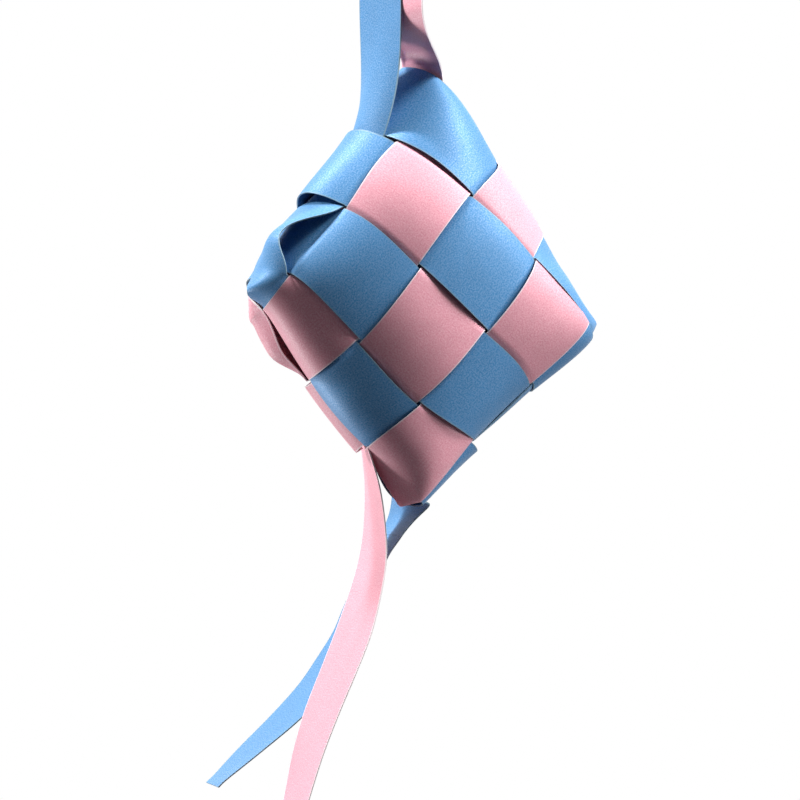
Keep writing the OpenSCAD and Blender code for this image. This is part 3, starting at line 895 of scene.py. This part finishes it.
class KETUPAT_OT_sides(bpy.types.Operator):
    """Weave the blue ribbon round three sides of the pouch"""

    bl_idname = "ketupat.sides"
    bl_label = "Blue sides"

    def execute(self, context):
        pouch = Pouch(context.scene.ketupat_sizes)
        add_strip(context, "blue_upper_left_side", "blue", pouch, upper_left_side(pouch))
        add_strip(context, "blue_upper_right_side", "blue", pouch, upper_right_side(pouch))
        add_strip(context, "blue_lower_right_side", "blue", pouch, lower_right_side(pouch))
        return {"FINISHED"}


class KETUPAT_OT_inside(bpy.types.Operator):
    """Lead the pink ribbon through the pouch's inside, from the hanger to the lower left loop"""

    bl_idname = "ketupat.inside"
    bl_label = "Pink inside run"

    def execute(self, context):
        pouch = Pouch(context.scene.ketupat_sizes)
        place = np.append(np.linspace(0, LOOP_END, ALONG), 1)
        x, y, _ = pouch.row(3, place, 0 * place)
        lift = lower_left_loop(pouch, x, y)
        add_strip(context, "pink_lower_left_side", "pink", pouch, pouch.woven(x, y, lift)[0])
        low, high = inner_rings(pouch)
        add_strip(context, "pink_inner_run", "pink", pouch, loft(low, high, (10, -2, 10), (2, 1, 12), 30))
        return {"FINISHED"}


class KETUPAT_OT_hangers(bpy.types.Operator):
    """Hang the pouch on the blue and the pink ribbon's upper ends"""

    bl_idname = "ketupat.hangers"
    bl_label = "Hangers"

    def execute(self, context):
        pouch = Pouch(context.scene.ketupat_sizes)
        q = pouch.span(ACROSS)
        blue = pouch.woven(BLUE_HANGER_AT + q, 0.5 - pouch.half + 0 * q, -pouch.edge)[0][None]
        across = PINK_HANGER_AT + PINK_HANGER_SPREAD * q
        y, x = np.meshgrid(np.linspace(INNER_TOP, -1, 9), across, indexing="ij")
        pink = pouch.woven(x, y, pouch.inside + PINK_HANGER_RISE * smooth(-y))[0]
        for name, tint, start, side, out, into in (
            ("blue_hanger", "blue", blue, 1, (4.2, 0, 12), (0, 0, 14)),
            ("pink_hanger", "pink", pink, -1, (1, 2, 8), (1, 0, 12)),
        ):
            rings = hanger(pouch, start, side, out, into)
            shells = [
                sheet_arrays(rings, pouch.paper, False),
                sheet_arrays(tab_plate(pouch, side), pouch.paper, True),
            ]
            piece = add_piece("paper_" + name, shells, papers(context, tint), [name])
        return {"FINISHED"}


class KETUPAT_OT_tails(bpy.types.Operator):
    """Hang the two tails from the pouch's bottom corner, the pink one from a slit in the weave"""

    bl_idname = "ketupat.tails"
    bl_label = "Tails"

    def execute(self, context):
        pouch = Pouch(context.scene.ketupat_sizes)
        blue = fall_rings(pouch, BLUE_FALL, 0)
        pink = fall_rings(pouch, PINK_FALL, math.pi)
        top = TAIL_TOP + TAIL_TOP_WIDTH * (pink[0] - pink[0].mean(axis=0))
        pink = np.concatenate([loft(top, pink[0], (-3, 0, -2.5), (-0.8, 0, -3), 16)[:-1], pink])
        for name, tint, rings, above in (
            ("blue_tail", "blue", blue, "paper_blue_lower_right_side"),
            ("pink_tail", "pink", pink, "paper_pink_front_right"),
        ):
            piece = add_strip(context, name, tint, pouch, rings, None)
            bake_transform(piece)
        return {"FINISHED"}


class KETUPAT_OT_eyelet(bpy.types.Operator):
    """Set the brass eyelet through both hangers"""

    bl_idname = "ketupat.eyelet"
    bl_label = "Brass eyelet"

    def execute(self, context):
        pouch = Pouch(context.scene.ketupat_sizes)
        brass = paper_material(
            "polished_brass", (0.72, 0.50, 0.20), (0.86, 0.66, 0.34), (0.8, 0.6, 0.3), 0.0006,
            metal=1.0, sheen=0, relief_strength=0.1)
        add_piece("eyelet_ring", [eyelet_shell(pouch)], [brass], ["eyelet"])
        return {"FINISHED"}


def add_light(name, size, power, at, to):
    """Square area light at a place, turned towards a point."""
    lamp = bpy.data.lights.new(name, "AREA")
    lamp.shape = "SQUARE"
    lamp.size = size
    lamp.energy = power
    light = bpy.data.objects.new(name, lamp)
    light.location = at
    away = np.array(at) - np.array(to)
    tilt = math.atan2(math.hypot(away[0], away[1]), away[2])
    light.rotation_euler = (tilt, 0, math.atan2(away[0], -away[1]))
    bpy.context.scene.collection.objects.link(light)


def add_floor(scene, colour):
    """Matte square floor far below, half lit by itself where the camera sees it."""
    mesh = bpy.data.meshes.new("floor")
    ways = ((-1, -1), (1, -1), (1, 1), (-1, 1))
    corners = [(a * FLOOR_REACH, b * FLOOR_REACH, FLOOR_LEVEL) for a, b in ways]
    mesh.from_pydata(corners, [], [(0, 1, 2, 3)])
    floor = bpy.data.objects.new("floor", mesh)
    matte = bpy.data.materials.new("floor")
    matte.use_nodes = True
    nodes, link = matte.node_tree.nodes, matte.node_tree.links.new
    shader = nodes["Principled BSDF"]
    shader.inputs["Base Color"].default_value = (*colour, 1)
    shader.inputs["Roughness"].default_value = 0.8
    shader.inputs["Emission Color"].default_value = (1, 1, 1, 1)
    shown = nodes.new("ShaderNodeLightPath")
    half = nodes.new("ShaderNodeMath")
    half.operation = "MULTIPLY"
    half.inputs[1].default_value = 0.5
    link(shown.outputs["Is Camera Ray"], half.inputs[0])
    link(half.outputs["Value"], shader.inputs["Emission Strength"])
    mesh.materials.append(matte)
    scene.collection.objects.link(floor)


def add_sky(scene, fill):
    """Soft bluish light all round, and plain white for camera, glossy and transmission rays."""
    world = bpy.data.worlds.new("studio")
    world.use_nodes = True
    scene.world = world
    nodes, link = world.node_tree.nodes, world.node_tree.links.new
    back = nodes["Background"]
    back.inputs["Color"].default_value = (0.80, 0.88, 1.0, 1)
    back.inputs["Strength"].default_value = fill
    seen = nodes.new("ShaderNodeBackground")
    seen.inputs["Color"].default_value = (1, 1, 1, 1)
    seen.inputs["Strength"].default_value = 1
    path = nodes.new("ShaderNodeLightPath")
    choose = nodes.new("ShaderNodeMixShader")
    seen_by = path.outputs["Is Camera Ray"]
    for kind in ("Is Glossy Ray", "Is Transmission Ray"):
        either = nodes.new("ShaderNodeMath")
        either.operation = "MAXIMUM"
        link(seen_by, either.inputs[0])
        link(path.outputs[kind], either.inputs[1])
        seen_by = either.outputs["Value"]
    link(seen_by, choose.inputs["Fac"])
    link(back.outputs["Background"], choose.inputs[1])
    link(seen.outputs["Background"], choose.inputs[2])
    link(choose.outputs["Shader"], nodes["World Output"].inputs["Surface"])


def add_camera(scene):
    """Level camera with the photo's view: the lens is sensor width times distance over view width."""
    lens = bpy.data.cameras.new("camera")
    lens.lens = lens.sensor_width * VIEW_AWAY / VIEW_WIDTH
    camera = bpy.data.objects.new("camera", lens)
    camera.location = (VIEW_MIDDLE[0], -VIEW_AWAY, VIEW_MIDDLE[1])
    camera.rotation_euler = (math.pi / 2, 0, 0)
    scene.collection.objects.link(camera)
    scene.camera = camera


class KETUPAT_OT_stage(bpy.types.Operator):
    """Set the floor, lights, background and camera"""

    bl_idname = "ketupat.stage"
    bl_label = "Stage"

    def execute(self, context):
        scene = context.scene
        look = scene.ketupat_stage
        add_floor(scene, look.floor)
        for name, (size, at) in LIGHTS.items():
            add_light(name, size, getattr(look, name), at, LIT_MIDDLE)
        add_sky(scene, look.fill)
        add_camera(scene)
        scene.view_settings.view_transform = "Standard"
        return {"FINISHED"}


class KETUPAT_PT_panel(bpy.types.Panel):
    """Steps that build the ornament"""

    bl_idname = "KETUPAT_PT_panel"
    bl_label = "Ketupat"
    bl_space_type = "VIEW_3D"
    bl_region_type = "UI"
    bl_category = "Ketupat"

    def draw(self, context):
        column = self.layout.column()
        for step in STEPS:
            column.operator(step.bl_idname)


STEPS = (
    KETUPAT_OT_rows, KETUPAT_OT_columns, KETUPAT_OT_sides, KETUPAT_OT_inside, KETUPAT_OT_eyelet,
    KETUPAT_OT_hangers, KETUPAT_OT_tails, KETUPAT_OT_stage,
)
GROUPS = (("ketupat_sizes", RibbonSizes), ("ketupat_look", PaperLook), ("ketupat_stage", StageLook))


def register():
    """Registers the classes and puts the settings on the scene."""
    for name, group in GROUPS:
        bpy.utils.register_class(group)
        setattr(bpy.types.Scene, name, bpy.props.PointerProperty(type=group))
    for step in STEPS:
        bpy.utils.register_class(step)
    bpy.utils.register_class(KETUPAT_PT_panel)


def unregister():
    """Takes the classes and settings away again."""
    bpy.utils.unregister_class(KETUPAT_PT_panel)
    for step in reversed(STEPS):
        bpy.utils.unregister_class(step)
    for name, group in reversed(GROUPS):
        delattr(bpy.types.Scene, name)
        bpy.utils.unregister_class(group)


def main():
    """Builds the ornament step by step."""
    register()
    bpy.ops.ketupat.rows()
    bpy.ops.ketupat.columns()
    bpy.ops.ketupat.sides()
    bpy.ops.ketupat.inside()
    bpy.ops.ketupat.eyelet()
    bpy.ops.ketupat.hangers()
    bpy.ops.ketupat.tails()
    bpy.ops.ketupat.stage()
    bpy.context.view_layer.update()


if __name__ == "__main__":
    main()
